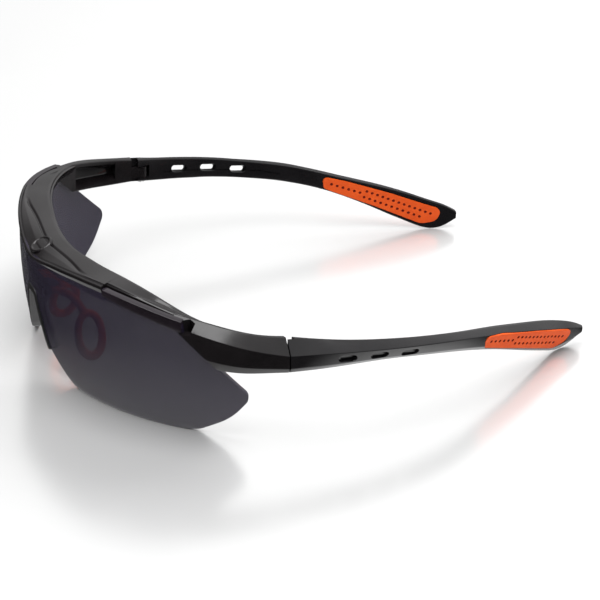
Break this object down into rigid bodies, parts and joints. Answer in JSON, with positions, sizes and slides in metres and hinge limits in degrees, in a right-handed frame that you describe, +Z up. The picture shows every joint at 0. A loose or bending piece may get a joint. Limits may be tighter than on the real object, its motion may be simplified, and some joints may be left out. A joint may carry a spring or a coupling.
{
  "type": "safety glasses",
  "caption": "Wrap-around safety glasses with a one-piece smoke lens under a brow bar, soft nose pads and slotted folding temples with soft grips.",
  "frame": {"origin": "on the resting surface, under the middle of the open glasses' box", "axes": "+X to the wearer's left, +Y from the lens to the temple tips, +Z up"},
  "size_m": [0.142, 0.163, 0.0412],
  "materials": {
    "frame_black": "polished moulded black polycarbonate",
    "lens_smoke": "smoke-tinted clear polycarbonate",
    "bridge_black": "satin moulded nylon",
    "nose_orange": "matte soft elastomer",
    "grip_orange": "matte soft elastomer with moulded dimples",
    "screw_steel": "machined steel"
  },
  "bodies": {
    "front_frame": {"brow_frame": "frame_black", "lens": "lens_smoke", "nose_bridge": "bridge_black", "nose_pad_left": "nose_orange", "nose_pad_right": "nose_orange"},
    "left_temple": {"temple_left": "frame_black", "hinge_screw_left": "screw_steel", "grip_outer_left": "grip_orange", "grip_inner_left": "grip_orange"},
    "right_temple": {"temple_right": "frame_black", "hinge_screw_right": "screw_steel", "grip_outer_right": "grip_orange", "grip_inner_right": "grip_orange"}
  },
  "joints": [
    {"name": "left_hinge", "type": "hinge", "parent": "front_frame", "child": "left_temple", "pos_m": [0.066, -0.0232, 0.026], "axis": [0, 0, 1], "range_deg": [0, 90]},
    {"name": "right_hinge", "type": "hinge", "parent": "front_frame", "child": "right_temple", "pos_m": [-0.066, -0.0232, 0.026], "axis": [0, 0, -1], "range_deg": [0, 78]}
  ]
}
